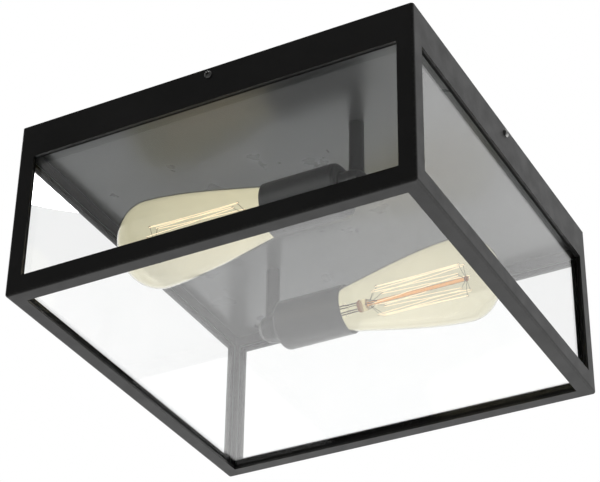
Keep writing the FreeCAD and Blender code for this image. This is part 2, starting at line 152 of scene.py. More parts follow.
class Paint(Graph):
    """One node material, with its textures in the lantern's own frame."""

    def __init__(self, name):
        self.material = bpy.data.materials.new(name)
        self.material.use_nodes = True
        super().__init__(self.material.node_tree)
        self.output = self.node("ShaderNodeOutputMaterial")
        self.place = self.node("ShaderNodeTexCoord").outputs["Object"]

    def noise(self, scale, detail=3.0, roughness=0.55, stretch=None):
        """Soft noise; a stretch scales it along each axis."""
        new = self.node("ShaderNodeTexNoise")
        new.inputs["Scale"].default_value = scale
        new.inputs["Detail"].default_value = detail
        new.inputs["Roughness"].default_value = roughness
        place = self.place
        if stretch is not None:
            mapping = self.node("ShaderNodeMapping")
            mapping.inputs["Scale"].default_value = stretch
            self.join(self.place, mapping.inputs["Vector"])
            place = mapping.outputs["Vector"]
        self.join(place, new.inputs["Vector"])
        return new.outputs["Fac"]

    def blend(self, share, first, second):
        """The second colour over the first, by a share."""
        new = self.node("ShaderNodeMix", data_type="RGBA")
        self.feed(new.inputs["Factor"], share)
        colours = [s for s in new.inputs if s.type == "RGBA"]
        for socket, value in zip(colours, (first, second)):
            self.feed(socket, value if isinstance(value, bpy.types.NodeSocket) else (*value, 1.0))
        return [s for s in new.outputs if s.type == "RGBA"][0]

    def gloss(self, scale, low, high):
        """A roughness that changes softly over the surface."""
        return self.ranged(self.noise(scale, 4.0), 0.3, 0.7, low, high)

    def clouded(self, scale, detail, first, second):
        """Two tones in soft clouds."""
        return self.blend(self.ranged(self.noise(scale, detail), 0.3, 0.7, 0.0, 1.0), first, second)

    def bump(self, *heights):
        """Bumps from several heights, each as (height, strength, distance in metres)."""
        normal = None
        for height, strength, distance in heights:
            new = self.node("ShaderNodeBump")
            new.inputs["Strength"].default_value = strength
            new.inputs["Distance"].default_value = distance
            self.join(height, new.inputs["Height"])
            if normal is not None:
                self.join(normal, new.inputs["Normal"])
            normal = new.outputs["Normal"]
        return normal

    def axes(self):
        """The place along x, y and z, in metres."""
        split = self.node("ShaderNodeSeparateXYZ")
        self.join(self.place, split.inputs["Vector"])
        return split.outputs["X"], split.outputs["Y"], split.outputs["Z"]

    def principled(self, **inputs):
        """A general surface, with its inputs by name."""
        new = self.node("ShaderNodeBsdfPrincipled")
        for key, value in inputs.items():
            if isinstance(value, tuple) and len(value) == 3:
                value = (*value, 1.0)
            self.feed(new.inputs[key.replace("_", " ")], value)
        return new.outputs[0]

    def clear(self, tint=(1.0, 1.0, 1.0)):
        """Lets all light through, with a tint."""
        new = self.node("ShaderNodeBsdfTransparent")
        new.inputs["Color"].default_value = (*tint, 1.0)
        return new.outputs[0]

    def absorb(self, colour, density):
        """Takes light out along the way through the glass."""
        body = self.node("ShaderNodeVolumeAbsorption")
        body.inputs["Color"].default_value = (*colour, 1.0)
        body.inputs["Density"].default_value = density
        self.join(body.outputs[0], self.output.inputs["Volume"])

    def finish(self, shader):
        """Ends the material with this shader."""
        self.join(shader, self.output.inputs["Surface"])
        return self.material


def fold_distance(paint):
    """Distance in metres from the nearest outer folded edge of the cage."""
    x, y, z = paint.axes()
    across = paint.calc("SUBTRACT", HALF_WIDTH * MM, paint.calc("ABSOLUTE", x))
    along = paint.calc("SUBTRACT", HALF_WIDTH * MM, paint.calc("ABSOLUTE", y))
    up = paint.calc("SUBTRACT", z, CAGE_BOTTOM * MM)
    upright = paint.calc("MAXIMUM", across, along)
    face = paint.calc("MINIMUM", across, along)
    low = paint.calc("MAXIMUM", face, up)
    return paint.calc("MINIMUM", upright, low)


def frame_paint():
    """Black powder coat: a fine even grain, a slight orange peel, and a painted highlight: lighter in patches
    along the folded edges, which are also a little less rough.
    """
    paint = Paint("black_powder_coat")
    patches = paint.ranged(paint.noise(14.0, 4.0), 0.35, 0.65, 0.0, 1.0)
    marks = paint.ranged(paint.noise(520.0, 5.0, 0.7), 0.46, 0.62, 0.0, 1.0)
    edge = paint.ranged(fold_distance(paint), 0.0006, 0.0034, 1.0, 0.0, smooth=True)
    # Painted highlight: the colour is lighter in patches along the folded edges.
    painted_edge_highlight = paint.calc("MULTIPLY", edge, marks)
    tone = paint.blend(patches, (0.016, 0.016, 0.0155), (0.022, 0.0215, 0.021))
    tone = paint.blend(paint.calc("MULTIPLY", painted_edge_highlight, 0.6), tone, (0.05, 0.049, 0.047))
    rough = paint.calc("SUBTRACT", paint.gloss(60.0, 0.36, 0.46), paint.calc("MULTIPLY", edge, 0.06))
    normal = paint.bump((paint.noise(260.0, 2.0), 0.10, 0.0002), (paint.noise(1500.0, 2.0), 0.12, 0.00006))
    return paint.finish(paint.principled(Base_Color=tone, Roughness=rough, Normal=normal))


def tray_paint():
    """Grey satin stove enamel, a little uneven, with a fine orange peel."""
    paint = Paint("grey_satin_enamel")
    tone = paint.clouded(7.0, 4.0, (0.140, 0.145, 0.146), (0.157, 0.162, 0.163))
    rough = paint.gloss(26.0, 0.27, 0.31)
    normal = paint.bump((paint.noise(210.0, 2.0), 0.05, 0.0001), (paint.noise(1100.0, 2.0), 0.02, 0.00004))
    return paint.finish(paint.principled(Base_Color=tone, Metallic=0.55, Roughness=rough, Normal=normal))


def cup_paint():
    """Dark grey satin paint on the stems, elbows and cups, with fine turning marks under it."""
    paint = Paint("dark_satin_metal")
    turning = paint.noise(220.0, 3.0, stretch=(2.5, 0.2, 0.2))
    tone = paint.clouded(30.0, 4.0, (0.030, 0.031, 0.030), (0.040, 0.041, 0.040))
    rough = paint.gloss(90.0, 0.30, 0.40)
    normal = paint.bump((turning, 0.03, 0.0002), (paint.noise(1300.0, 2.0), 0.03, 0.00005))
    return paint.finish(paint.principled(Base_Color=tone, Metallic=0.1, Roughness=rough, Normal=normal))


def seal_rubber():
    """Soft black rubber, dull, dusty in places."""
    paint = Paint("black_seal_rubber")
    dust = paint.ranged(paint.noise(45.0, 6.0, 0.65), 0.52, 0.75, 0.0, 0.5)
    tone = paint.blend(dust, (0.009, 0.009, 0.009), (0.030, 0.029, 0.027))
    rough = paint.gloss(120.0, 0.62, 0.82)
    normal = paint.bump((paint.noise(800.0, 3.0), 0.25, 0.0001))
    return paint.finish(paint.principled(Base_Color=tone, Roughness=rough, Normal=normal,
                                         Specular_IOR_Level=0.35))


def bare_metal(name, pale, dark, rough_low, rough_high):
    """Bare or plated metal: patches of tarnish and fine scratches."""
    paint = Paint(name)
    tarnish = paint.ranged(paint.noise(180.0, 5.0, 0.65), 0.35, 0.7, 0.0, 1.0)
    scratches = paint.noise(600.0, 4.0, 0.7, stretch=(1.0, 0.15, 1.0))
    tone = paint.blend(tarnish, pale, dark)
    rough = paint.ranged(scratches, 0.3, 0.7, rough_low, rough_high)
    normal = paint.bump((scratches, 0.12, 0.00008))
    return paint.finish(paint.principled(Base_Color=tone, Metallic=1.0, Roughness=rough, Normal=normal))


def oxidised_wire(name, pale, dark, shine):
    """Thin wire gone brown with heat: patchy, with drawn lines along it."""
    paint = Paint(name)
    patches = paint.ranged(paint.noise(350.0, 4.0), 0.35, 0.65, 0.0, 1.0)
    drawn = paint.noise(900.0, 2.0, stretch=(0.1, 1.0, 1.0))
    tone = paint.blend(patches, pale, dark)
    rough = paint.ranged(drawn, 0.3, 0.7, 0.4, 0.6)
    normal = paint.bump((drawn, 0.2, 0.00005))
    return paint.finish(paint.principled(Base_Color=tone, Metallic=0.2, Specular_IOR_Level=shine,
                                         Roughness=rough, Normal=normal))


def ceramic(name, pale, dark):
    """Glazed or moulded ceramic with small pits."""
    paint = Paint(name)
    pits = paint.ranged(paint.noise(500.0, 4.0, 0.6), 0.60, 0.72, 0.0, 1.0)
    clouds = paint.ranged(paint.noise(60.0, 3.0), 0.3, 0.7, 0.0, 1.0)
    tone = paint.blend(clouds, pale, dark)
    tone = paint.blend(paint.calc("MULTIPLY", pits, 0.4), tone, tuple(c * 0.55 for c in dark))
    rough = paint.ranged(clouds, 0.0, 1.0, 0.25, 0.42)
    normal = paint.bump((pits, 0.2, 0.0001), (paint.noise(1200.0, 2.0), 0.1, 0.00004))
    return paint.finish(paint.principled(Base_Color=tone, Roughness=rough, Normal=normal))


def terminal_plastic():
    """Off-white moulded plastic with a fine sparked texture."""
    paint = Paint("white_terminal_plastic")
    clouds = paint.ranged(paint.noise(50.0, 3.0), 0.3, 0.7, 0.0, 1.0)
    tone = paint.blend(clouds, (0.66, 0.65, 0.61), (0.72, 0.71, 0.67))
    rough = paint.ranged(clouds, 0.0, 1.0, 0.42, 0.55)
    normal = paint.bump((paint.noise(1600.0, 3.0), 0.2, 0.00006))
    return paint.finish(paint.principled(Base_Color=tone, Roughness=rough, Normal=normal))


def straight_through(paint, shader, tint):
    """Lets light from lamps and from dull surfaces pass the glass in a straight line."""
    path = paint.node("ShaderNodeLightPath").outputs
    passing = paint.calc("MAXIMUM", path["Is Shadow Ray"], path["Is Diffuse Ray"])
    return paint.mixed(passing, shader, paint.clear(tint))


def pane_glass(name, thin_axis, film_weight, index):
    """Clear float glass: a trace of waviness and wiping marks, and green ground edges."""
    paint = Paint(name)
    wipes = paint.noise(22.0, 5.0, 0.6, stretch=(1.0, 1.0, 0.5))
    facing = paint.node("ShaderNodeSeparateXYZ")
    paint.join(paint.node("ShaderNodeNewGeometry").outputs["True Normal"], facing.inputs["Vector"])
    edge = paint.ranged(paint.calc("ABSOLUTE", facing.outputs[thin_axis]), 0.75, 0.9, 1.0, 0.0)
    wiped = paint.ranged(wipes, 0.4, 0.7, 0.0, 1.0)
    tone = paint.blend(wiped, (0.998, 1.0, 0.999), (0.988, 0.994, 0.992))
    tone = paint.blend(edge, tone, (0.30, 0.52, 0.42))
    rough = paint.calc("MULTIPLY", edge, 0.28)
    normal = paint.bump((paint.noise(12.0, 1.0), 0.25, 0.00012))
    film = paint.ranged(wipes, 0.3, 0.7, 0.02, 0.10)
    shader = paint.principled(Base_Color=tone, Roughness=rough, IOR=index, Transmission_Weight=1.0,
                              Normal=normal, Coat_Weight=film_weight, Coat_IOR=1.6, Coat_Roughness=film)
    return paint.finish(straight_through(paint, shader, (0.91, 0.92, 0.92)))


def lamp_glass():
    """Faintly amber lamp glass with blowing streaks; it darkens where it is seen edge on."""
    paint = Paint("tinted_lamp_glass")
    streaks = paint.ranged(paint.noise(55.0, 3.0, stretch=(0.25, 1.0, 1.0)), 0.3, 0.7, 0.0, 1.0)
    tone = paint.blend(streaks, (0.93, 0.92, 0.86), (0.96, 0.95, 0.90))
    normal = paint.bump((paint.noise(28.0, 2.0), 0.15, 0.0002))
    shader = paint.principled(Base_Color=tone, Roughness=0.0, IOR=1.20, Transmission_Weight=1.0,
                              Normal=normal)
    paint.absorb((0.42, 0.38, 0.16), 140.0)
    return paint.finish(straight_through(paint, shader, (0.88, 0.86, 0.78)))


def lit_coat():
    """Thin cream coat inside the lamp glass: it glows towards the inside and is clear from outside."""
    paint = Paint("lit_inner_coat")
    clouds = paint.ranged(paint.noise(26.0, 4.0), 0.3, 0.7, 0.0, 1.0)
    tone = paint.blend(clouds, (0.43, 0.43, 0.40), (0.48, 0.48, 0.45))
    rough = paint.ranged(clouds, 0.0, 1.0, 0.5, 0.7)
    from_middle = paint.calc("ABSOLUTE", paint.axes()[0])
    light = paint.node("ShaderNodeVectorMath", operation="SCALE")
    light.inputs[0].default_value = (0.57, 0.55, 0.43)
    paint.join(paint.ranged(from_middle, 0.0, 0.13, 1.35, 1.0), light.inputs["Scale"])
    normal = paint.bump((paint.noise(60.0, 3.0), 0.1, 0.0002))
    coat = paint.principled(Base_Color=tone, Roughness=rough, Emission_Color=light.outputs[0],
                            Emission_Strength=0.78, Normal=normal)
    inside = paint.calc("SUBTRACT", 1.0, paint.node("ShaderNodeNewGeometry").outputs["Backfacing"])
    seen = paint.calc("SUBTRACT", 1.0, paint.node("ShaderNodeLightPath").outputs["Is Shadow Ray"])
    covered = paint.ranged(clouds, 0.0, 1.0, 0.76, 0.82)
    share = paint.calc("MULTIPLY", paint.calc("MULTIPLY", inside, seen), covered)
    return paint.finish(paint.mixed(share, paint.clear(), coat))


def faint_glass(name, pale, dark, index):
    """Drawn glass that hardly bends the light, as a paint and its shader."""
    paint = Paint(name)
    streaks = paint.noise(400.0, 3.0, stretch=(0.12, 1.0, 1.0))
    tone = paint.blend(paint.ranged(streaks, 0.3, 0.7, 0.0, 1.0), pale, dark)
    normal = paint.bump((streaks, 0.2, 0.0001))
    shader = paint.principled(Base_Color=tone, Roughness=0.0, IOR=index, Transmission_Weight=1.0,
                              Normal=normal)
    return paint, straight_through(paint, shader, pale)


def flare_glass():
    """Clear glass of the flare and the stalk."""
    paint, shader = faint_glass("clear_flare_glass", (0.99, 0.985, 0.96), (0.95, 0.94, 0.90), 1.10)
    return paint.finish(shader)


def rod_glass():
    """Amber glass round the rod: it darkens towards its sides, where there is more of it to see through."""
    paint, shader = faint_glass("amber_rod_glass", (0.98, 0.93, 0.84), (0.92, 0.85, 0.72), 1.15)
    paint.absorb((0.55, 0.25, 0.06), 700.0)
    return paint.finish(shader)


def bead_glass(name, tint, light, strength, rough, clear):
    """Pressed glass of the bead and its rings: drawn streaks, and light that it carries from the filament."""
    paint = Paint(name)
    streaks = paint.noise(400.0, 3.0, stretch=(0.12, 1.0, 1.0))
    tone = paint.blend(paint.ranged(streaks, 0.3, 0.7, 0.0, 1.0), tint, tuple(c * 0.8 for c in tint))
    roughness = paint.ranged(streaks, 0.3, 0.7, rough, rough * 2)
    normal = paint.bump((streaks, 0.25, 0.0001))
    shader = paint.principled(Base_Color=tone, Roughness=roughness, IOR=1.5, Transmission_Weight=clear,
                              Emission_Color=light, Emission_Strength=strength, Normal=normal)
    return paint.finish(straight_through(paint, shader, (0.8, 0.7, 0.55)))


def lit_rod():
    """Core of the rod, lit by the filament round it, with fine bands along it."""
    paint = Paint("lit_rod_core")
    tint = (0.70, 0.42, 0.16)
    bands = paint.noise(900.0, 2.0, stretch=(1.0, 0.2, 0.2))
    tone = paint.blend(paint.ranged(bands, 0.35, 0.65, 0.0, 1.0), tint, tuple(c * 0.7 for c in tint))
    rough = paint.ranged(bands, 0.3, 0.7, 0.3, 0.5)
    normal = paint.bump((bands, 0.3, 0.0001))
    return paint.finish(paint.principled(Base_Color=tone, Roughness=rough, Emission_Color=(1.0, 0.66, 0.30),
                                         Emission_Strength=0.85, Normal=normal))


def glowing_coil():
    """Filament wire: a fine coil that glows warm white."""
    paint = Paint("glowing_filament")
    coil = paint.node("ShaderNodeTexWave", wave_type="BANDS", bands_direction="X")
    coil.inputs["Scale"].default_value = 420.0
    coil.inputs["Distortion"].default_value = 0.6
    paint.join(paint.place, coil.inputs["Vector"])
    turns = coil.outputs["Fac"]
    tone = paint.blend(turns, (0.30, 0.22, 0.14), (0.55, 0.45, 0.33))
    rough = paint.ranged(turns, 0.0, 1.0, 0.35, 0.6)
    normal = paint.bump((turns, 0.5, 0.0001))
    return paint.finish(paint.principled(Base_Color=tone, Metallic=0.6, Roughness=rough, Normal=normal,
                                         Emission_Color=(1.0, 0.85, 0.63), Emission_Strength=1.22))


# ---------------------------------------------------------------- meshes

def add_piece(name, mesh, material, body, replaced=()):
    """Places a smooth mesh as a piece that rides on a body."""
    for face in mesh.polygons:
        face.use_smooth = True
    mesh.materials.append(material)
    piece = bpy.data.objects.new(name, mesh)
    bpy.context.scene.collection.objects.link(piece)
    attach(piece, body)
    if replaced:
        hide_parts(*replaced)
    return piece


def sharpened(piece, degrees):
    """Keeps edges sharper than this angle crisp while the rest is smooth."""
    limit = math.radians(degrees)
    edited = bmesh.new()
    edited.from_mesh(piece.data)
    for edge in edited.edges:
        if len(edge.link_faces) == 2 and edge.calc_face_angle(0.0) > limit:
            edge.smooth = False
    edited.to_mesh(piece.data)
    edited.free()


def to_mesh(name, edited, matrix=Matrix.Identity(4)):
    """Writes a bmesh given in millimetres as a mesh in metres."""
    bmesh.ops.remove_doubles(edited, verts=edited.verts, dist=0.0005)
    bmesh.ops.recalc_face_normals(edited, faces=edited.faces)
    edited.transform(Matrix.Scale(MM, 4) @ matrix)
    mesh = bpy.data.meshes.new(name)
    edited.to_mesh(mesh)
    edited.free()
    return mesh


def lathe(edited, profile, sides, ripple=None):
    """Turns a profile of (along, radius) about the X axis; a ripple changes the radius round it."""
    rings = []
    for along, radius in profile:
        if radius < 1e-6:
            rings.append([edited.verts.new((along, 0.0, 0.0))])
            continue
        ring = []
        for side in range(sides):
            angle = 2 * math.pi * side / sides
            reach = radius if ripple is None else ripple(along, radius, angle)
            ring.append(edited.verts.new((along, reach * math.cos(angle), reach * math.sin(angle))))
        rings.append(ring)
    for first, second in zip(rings, rings[1:]):
        for side in range(sides):
            after = (side + 1) % sides
            corners = [first[side % len(first)], first[after % len(first)],
                       second[after % len(second)], second[side % len(second)]]
            corners = [c for i, c in enumerate(corners) if c not in corners[:i]]
            if len(corners) > 2:
                edited.faces.new(corners)


def tube(edited, points, radius, sides):
    """A round wire along points, with capped ends."""
    points = [Vector(p) for p in points]
    last = len(points) - 1
    across = None
    rings = []
    for index, point in enumerate(points):
        along = (points[min(index + 1, last)] - points[max(index - 1, 0)]).normalized()
        if across is None:
            guess = Vector((0, 0, 1)) if abs(along.z) < 0.9 else Vector((0, 1, 0))
            across = along.cross(guess).normalized()
        else:
            across = (across - along * across.dot(along)).normalized()
        other = along.cross(across)
        ring = []
        for side in range(sides):
            angle = 2 * math.pi * side / sides
            reach = (across * math.cos(angle) + other * math.sin(angle)) * radius
            ring.append(edited.verts.new(point + reach))
        rings.append(ring)
    for first, second in zip(rings, rings[1:]):
        for side in range(sides):
            after = (side + 1) % sides
            edited.faces.new((first[side], first[after], second[after], second[side]))
    edited.faces.new(rings[0])
    edited.faces.new(rings[-1])


def thread_ripple(crest, depth, pitch, start=0.0):
    """A screw thread: how far out the surface lies at each place along and round it."""
    def ripple(along, radius, angle):
        if along < start or radius < crest - 0.01:
            return radius
        return crest - depth * (0.5 - 0.5 * math.cos(2 * math.pi * along / pitch - angle))
    return ripple


# ---------------------------------------------------------------- camera and surroundings

def add_camera():
    """A long lens below the front right corner, looking up."""
    right = Vector((0.88301139, 0.4691589, 0.01344687))
    up = Vector((0.2462207, -0.4874266, 0.83772948))
    back = Vector((0.3995826, -0.73641377, -0.54591987))
    data = bpy.data.cameras.new("camera")
    data.sensor_width = 36.0
    data.lens = 116.505
    data.clip_start = 0.05
    data.clip_end = 200.0
    camera = bpy.data.objects.new("camera", data)
    placed = Matrix((right, up, back)).transposed().to_4x4()
    placed.translation = Vector((650.77, -1221.70, -962.66)) * MM
    camera.matrix_world = placed
    bpy.context.scene.collection.objects.link(camera)
    bpy.context.scene.camera = camera


def add_world():
    """White where it is looked at; for light it is a room that is pale behind and dim in front."""
    world = bpy.data.worlds.new("studio")
    world.use_nodes = True
    graph = Graph(world.node_tree)
    output = graph.node("ShaderNodeOutputWorld")
    split = graph.node("ShaderNodeSeparateXYZ")
    graph.join(graph.node("ShaderNodeTexCoord").outputs["Generated"], split.inputs["Vector"])
    level = graph.ranged(split.outputs["Y"], -0.25, 0.35, FRONT_LEVEL, BACK_LEVEL, smooth=True)
    right = graph.ranged(split.outputs["X"], -0.1, 0.45, 1.0, RIGHT_SHARE, smooth=True)
    room = graph.node("ShaderNodeBackground")
    graph.join(graph.calc("MULTIPLY", level, right), room.inputs["Color"])
    white = graph.node("ShaderNodeBackground")
    white.inputs["Color"].default_value = (1.0, 1.0, 1.0, 1.0)
    white.inputs["Strength"].default_value = 1.0
    graph.join(graph.mixed(graph.looked_at(), room.outputs[0], white.outputs[0]), output.inputs["Surface"])
    bpy.context.scene.world = world


def add_floor():
    """A plain pale floor under the porch ceiling where it is looked at; in reflections it shows painted light
    instead, dim in front and bright behind.
    """
    mesh = bpy.data.meshes.new("floor")
    corners = [(x * FLOOR_HALF, y * FLOOR_HALF, FLOOR_Z) for x, y in ((-1, -1), (1, -1), (1, 1), (-1, 1))]
    mesh.from_pydata(corners, [], [(0, 1, 2, 3)])
    floor = bpy.data.objects.new("floor", mesh)
    bpy.context.scene.collection.objects.link(floor)
    paint = Paint("pale_floor")
    tone = paint.blend(paint.noise(3.0, 5.0), (0.80, 0.80, 0.79), (0.83, 0.83, 0.82))
    rough = paint.ranged(paint.noise(9.0, 3.0), 0.3, 0.7, 0.6, 0.75)
    normal = paint.bump((paint.noise(160.0), 0.05, 0.001))
    surface = paint.principled(Base_Color=tone, Roughness=rough, Normal=normal)
    plain = paint.node("ShaderNodeEmission")
    plain.inputs["Strength"].default_value = 1.0
    direct = paint.mixed(paint.calc("MULTIPLY", paint.looked_at(), 0.6), surface, plain.outputs[0])
    # Painted light seen in reflections: the floor glows dim in front and bright behind.
    mirrored = paint.node("ShaderNodeEmission")
    level = paint.ranged(paint.axes()[1], -1.5, 2.2, FRONT_LEVEL, FLOOR_BACK_LEVEL, smooth=True)
    paint.join(level, mirrored.inputs["Color"])
    glossy = paint.node("ShaderNodeLightPath").outputs["Is Glossy Ray"]
    mesh.materials.append(paint.finish(paint.mixed(glossy, direct, mirrored.outputs[0])))


def add_light():
    """One large soft light above the back left corner."""
    data = bpy.data.lights.new("soft_light", "AREA")
    data.shape = "DISK"
    data.size = 2.0
    data.energy = 60.0
    light = bpy.data.objects.new("soft_light", data)
    light.location = (-1.3, 1.5, 2.4)
    aim = Vector((0.0, 0.0, -0.1)) - light.location
    light.rotation_euler = aim.to_track_quat("-Z", "Y").to_euler()
    bpy.context.scene.collection.objects.link(light)


# ---------------------------------------------------------------- lamps

def in_lamp(number):
    """From a lamp's own frame, counted from its end contact along X, to the lantern's."""
    turn = Matrix.Rotation(math.pi, 4, "Z")
    first = Matrix.Translation((LAMP_START, -LAMP_Y, LAMP_Z)) @ turn
    return first if number == 1 else turn @ first


def turned_piece(number, name, profile, sides, material, replaced=(), sharp=None, ripple=None):
    """A piece of a lamp that is turned about the lamp's axis."""
    edited = bmesh.new()
    lathe(edited, profile, sides, ripple)
    mesh = to_mesh(name, edited, in_lamp(number))
    piece = add_piece(f"lamp_{number}_{name}", mesh, material, f"lamp_{number}", replaced)
    if sharp is not None:
        sharpened(piece, sharp)
    return piece


def glass_profile(inset):
    """Smooth half outline of the lamp's glass from the cap to the tip."""
    rim = (RIM_AT, RIM_RADIUS)
    spans = (((CAP_LENGTH, 12.7), (28.4, 14.4), (31.5, 18.0), rim, 7),
             (rim, (64.0, 25.2), (111.0, 36.3), (WIDEST, LAMP_RADIUS), 26))
    points = []
    for *corners, count in spans:
        corners = [Vector((along, radius, 0.0)) for along, radius in corners]
        for point in interpolate_bezier(*corners, count)[:-1]:
            points.append((point.x, point.y - inset))
    for step in range(19):
        angle = math.pi / 2 * step / 18
        along = WIDEST + (LAMP_NOSE - inset) * math.sin(angle)
        points.append((along, (LAMP_RADIUS - inset) * math.cos(angle)))
    return points


def add_envelope(number, material):
    """The teardrop glass, open at its neck, with its true wall."""
    outside, inside = glass_profile(0.0), glass_profile(LAMP_WALL)
    turned_piece(number, "envelope", outside + inside[::-1] + outside[:1], LAMP_SIDES, material,
                 (f"lamp_glass_{number}",), sharp=50)


def add_lit_coat(number, material):
    """The lit coat just inside the glass and over the end of the cap, with its faces turned inward."""
    profile = [(COAT_BASE, 0.0), (COAT_BASE, COAT_BASE_RADIUS)]
    profile += [point for point in glass_profile(LAMP_WALL + COAT_GAP) if point[0] > COAT_BASE + 0.1]
    turned_piece(number, "lit_coat", profile, LAMP_SIDES, material).data.flip_normals()


def add_screw_cap(number, material):
    """Pressed screw cap with its rolled thread."""
    steps = 60
    start, end = CAP_START + 1.6, CAP_LENGTH - 2.2
    profile = [(CAP_START, 0.0), (CAP_START, 10.6), (CAP_START + 0.8, 11.9)]
    profile += [(start + (end - start) * i / steps, CAP_RADIUS) for i in range(steps + 1)]
    profile += [(CAP_LENGTH - 1.6, 12.95), (CAP_LENGTH, 13.0), (CAP_LENGTH, 0.0)]
    turned_piece(number, "screw_cap", profile, 64, material, (f"lamp_cap_{number}",),
                 ripple=thread_ripple(CAP_RADIUS, CAP_THREAD_DEPTH, CAP_THREAD_PITCH))


def flare_profile():
    """The flare narrows from the cap to the stalk, which ends in the bead."""
    profile = [(CAP_LENGTH + 0.1, 0.0), (CAP_LENGTH + 0.1, 11.6), (CAP_LENGTH + 0.8, 11.5)]
    for share in (0.15, 0.35, 0.6, 0.8, 0.95):
        along = CAP_LENGTH + (FLARE_END - CAP_LENGTH) * share
        profile.append((along, 6.0 + 5.5 * (1 - share) ** 2.2))
    end = BEAD_START + 1.0
    return profile + [(FLARE_END, FLARE_RADIUS), (FLARE_END, STALK_RADIUS), (end, STALK_RADIUS), (end, 0.0)]


def collar_profile():
    """A round ring at the back of the bead."""
    middle, height = BEAD_START + 1.7, BEAD_RADIUS - COLLAR_CORE
    angles = [2 * math.pi * step / 16 for step in range(17)]
    return [(middle + COLLAR_HALF * math.cos(a), COLLAR_CORE + height * math.sin(a)) for a in angles]


def bead_profile():
    """A short round bead with soft rims."""
    start, end, top = BEAD_START + 2.2, BEAD_END, BEAD_RADIUS - 0.3
    return [(start, 0.0), (start, top - 1.4), (start + 0.4, top - 0.5), (start + 1.2, top), (end - 1.4, top),
            (end - 0.5, top - 0.4), (end, top - 1.3), (end, 0.0)]


def rod_profile(radius):
    """The rod from the bead to the hub, very slightly uneven."""
    start, end = BEAD_END - 0.2, ROD_END - HUB_LENGTH
    middle = [(BEAD_END + 8.0 * i, radius - 0.05 * (i % 2)) for i in range(1, 12)]
    return [(start, 0.0), (start, radius)] + middle + [(end, radius), (end, 0.0)]


def hub_profile():
    """A rounded knob at the end of the rod."""
    half = HUB_LENGTH / 2
    angles = [math.pi * step / 12 for step in range(13)]
    return [(ROD_END - half - half * math.cos(a), HUB_RADIUS * math.sin(a) ** 0.6) for a in angles]


def add_inner_glass(number, flare, clear, brown, amber, core):
    """Flare, stalk, bead and rod that hold the filament."""
    pieces = (("flare_and_stalk", flare_profile(), 40, flare, (f"lamp_mount_{number}",), 60),
              ("bead_collar", collar_profile(), 40, brown, (), 60),
              ("bead", bead_profile(), 40, clear, (), 60),
              ("rod", rod_profile(ROD_RADIUS), 24, amber, (), 60),
              ("rod_core", rod_profile(ROD_CORE), 24, core, (), 60),
              ("hub", hub_profile(), 32, brown, (), None))
    for name, profile, sides, material, replaced, sharp in pieces:
        turned_piece(number, name, profile, sides, material, replaced, sharp)


def outward(angle):
    """Straight away from the lamp's axis."""
    return Vector((0.0, math.cos(angle), math.sin(angle)))


def on_circle(along, circle, angle):
    """A point on a circle round the lamp's axis."""
    return Vector((along, 0.0, 0.0)) + outward(angle) * circle


def bend_angles(side):
    """Where the bends lie at the back end (side 1) or the front end (side -1) of the filament."""
    return [math.pi / LEGS * (4 * bend + side) for bend in range(LEGS // 2)]


def add_filament(number, material):
    """The filament zigzags round the rod: long legs, and short bends at both ends."""
    edited = bmesh.new()
    for leg in range(LEGS):
        angle = 2 * math.pi * leg / LEGS
        lean = (math.pi / LEGS - BEND_ANGLE) * (-1 if leg % 2 else 1)
        back = on_circle(FILAMENT_BACK, BACK_CIRCLE, angle + lean)
        front = on_circle(FILAMENT_FRONT, FRONT_CIRCLE, angle - lean)
        sideways = outward(angle + math.pi / 2)
        points = []
        for step in range(25):
            share = step / 24
            sag = math.sin(math.pi * share)
            wander = 0.22 * math.sin(9.0 * share + leg * 1.7) + 0.12 * math.sin(23.0 * share + leg * 0.9)
            points.append(back.lerp(front, share) + (sideways * wander - outward(angle) * 0.35) * sag)
        tube(edited, points, FILAMENT_RADIUS, 8)
    for end, circle, side in ((FILAMENT_BACK, BACK_CIRCLE, 1), (FILAMENT_FRONT, FRONT_CIRCLE, -1)):
        for middle in bend_angles(side):
            points = []
            for step in range(9):
                share = step / 8
                bulge = math.cos(math.pi * (share - 0.5))
                angle = middle + BEND_ANGLE * (2 * share - 1)
                points.append(on_circle(end - side * 0.5 * bulge, circle, angle))
            tube(edited, points, FILAMENT_RADIUS, 8)
    mesh = to_mesh("filament", edited, in_lamp(number))
    add_piece(f"lamp_{number}_glowing_filament", mesh, material, f"lamp_{number}",
              (f"lamp_filament_{number}",))


def hook_route(inner, end, circle, angle, side):
    """From the glass out to a bend of the filament, with a small loop round the bend."""
    outer = on_circle(end, circle - HOOK_LOOP, angle)
    middle = inner.lerp(outer, 0.55) + Vector((side * 0.8, 0.0, 0.0))
    points = list(interpolate_bezier(inner, inner.lerp(middle, 0.6), middle.lerp(outer, 0.5), outer, 9))
    centre = on_circle(end, circle, angle)
    for step in range(1, 12):
        turn = 2 * math.pi * 0.85 * step / 11
        across = Vector((side * HOOK_LOOP * math.sin(turn), 0.0, 0.0))
        points.append(centre - outward(angle) * HOOK_LOOP * math.cos(turn) + across)
    return points


